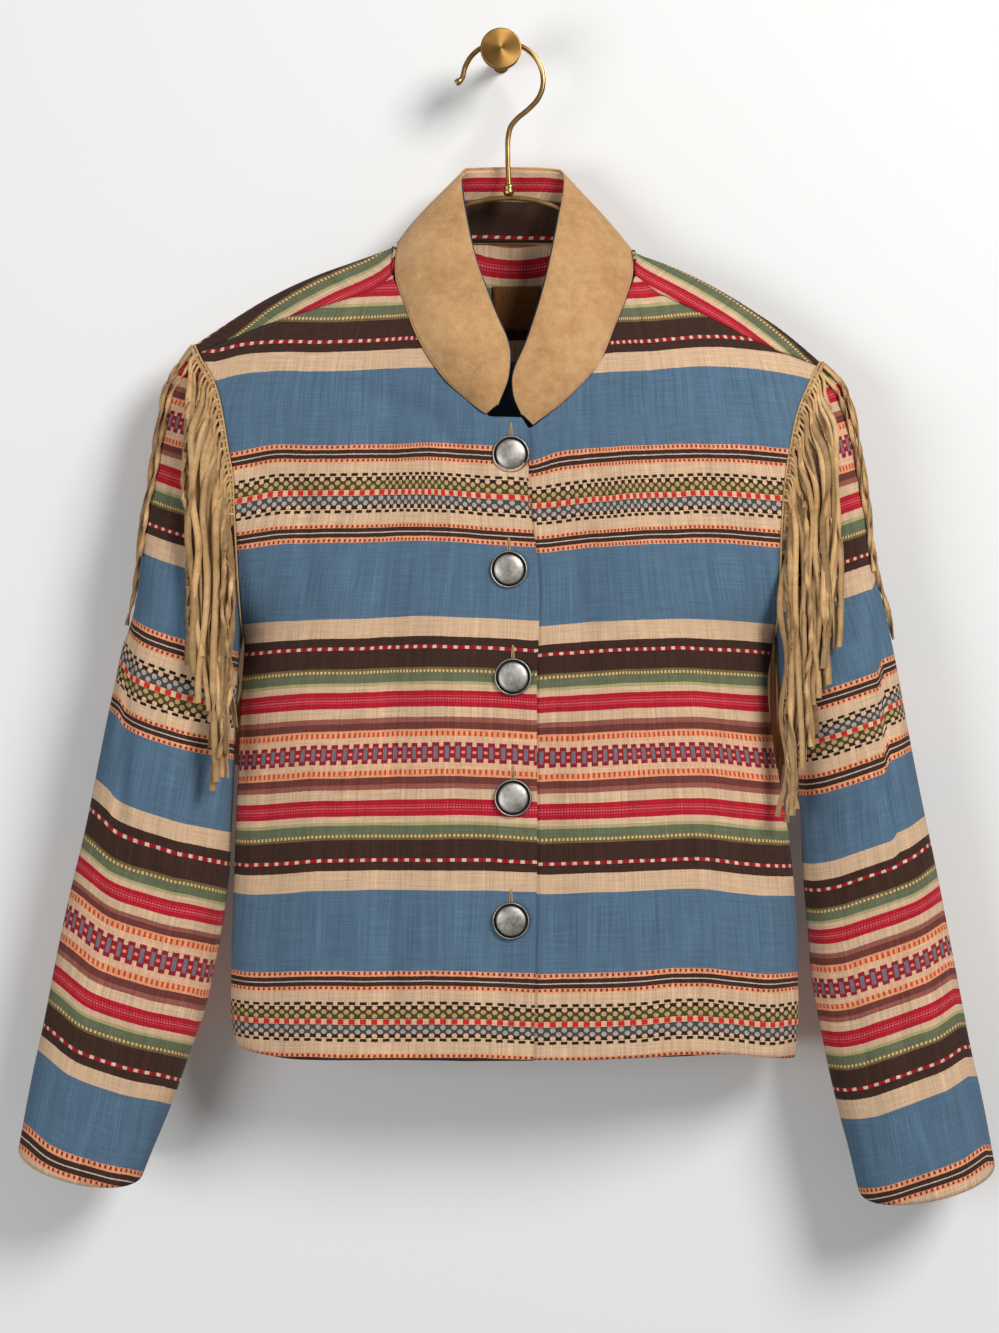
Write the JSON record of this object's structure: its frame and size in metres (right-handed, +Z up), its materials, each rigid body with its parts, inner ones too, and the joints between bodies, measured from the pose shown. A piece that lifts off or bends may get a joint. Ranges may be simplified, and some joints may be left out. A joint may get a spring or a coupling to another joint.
{
  "type": "western fringe jacket on a wire hanger and wall hook",
  "caption": "Cropped jacket of striped blanket cloth with a suede shawl collar and long suede fringe round both armholes, hung by a wire hanger from a wall hook.",
  "frame": {"origin": "centre of the wall hook's back face, where it meets the wall", "axes": "+X to the right as the jacket is viewed, +Y into the wall, +Z up"},
  "size_m": [0.735, 0.1086, 0.8802],
  "materials": {
    "striped_cloth": "woven blanket cloth with stripes across, matt",
    "collar_facing": "the same striped cloth inside the collar, matt",
    "suede": "brushed tan suede, matt",
    "fringe_suede": "cut strips of tan suede, matt",
    "label": "plain brown patch",
    "pewter": "aged pewter, domed with a groove",
    "brass_wire": "brass-coloured wire",
    "hook_metal": "dull brass-coloured metal"
  },
  "bodies": {
    "root": {"back": "striped_cloth", "front_left": "striped_cloth", "front_right": "striped_cloth", "sleeve_left": "striped_cloth", "sleeve_right": "striped_cloth", "collar_suede": "suede", "collar_lining": "collar_facing", "neck_label": "label", "button_1": "pewter", "button_2": "pewter", "button_3": "pewter", "button_4": "pewter", "button_5": "pewter", "fringe_left": "fringe_suede", "fringe_right": "fringe_suede", "hanger_hook": "brass_wire", "hanger_ferrule": "brass_wire", "hanger_arms": "brass_wire", "wall_peg": "hook_metal"}
  },
  "joints": []
}
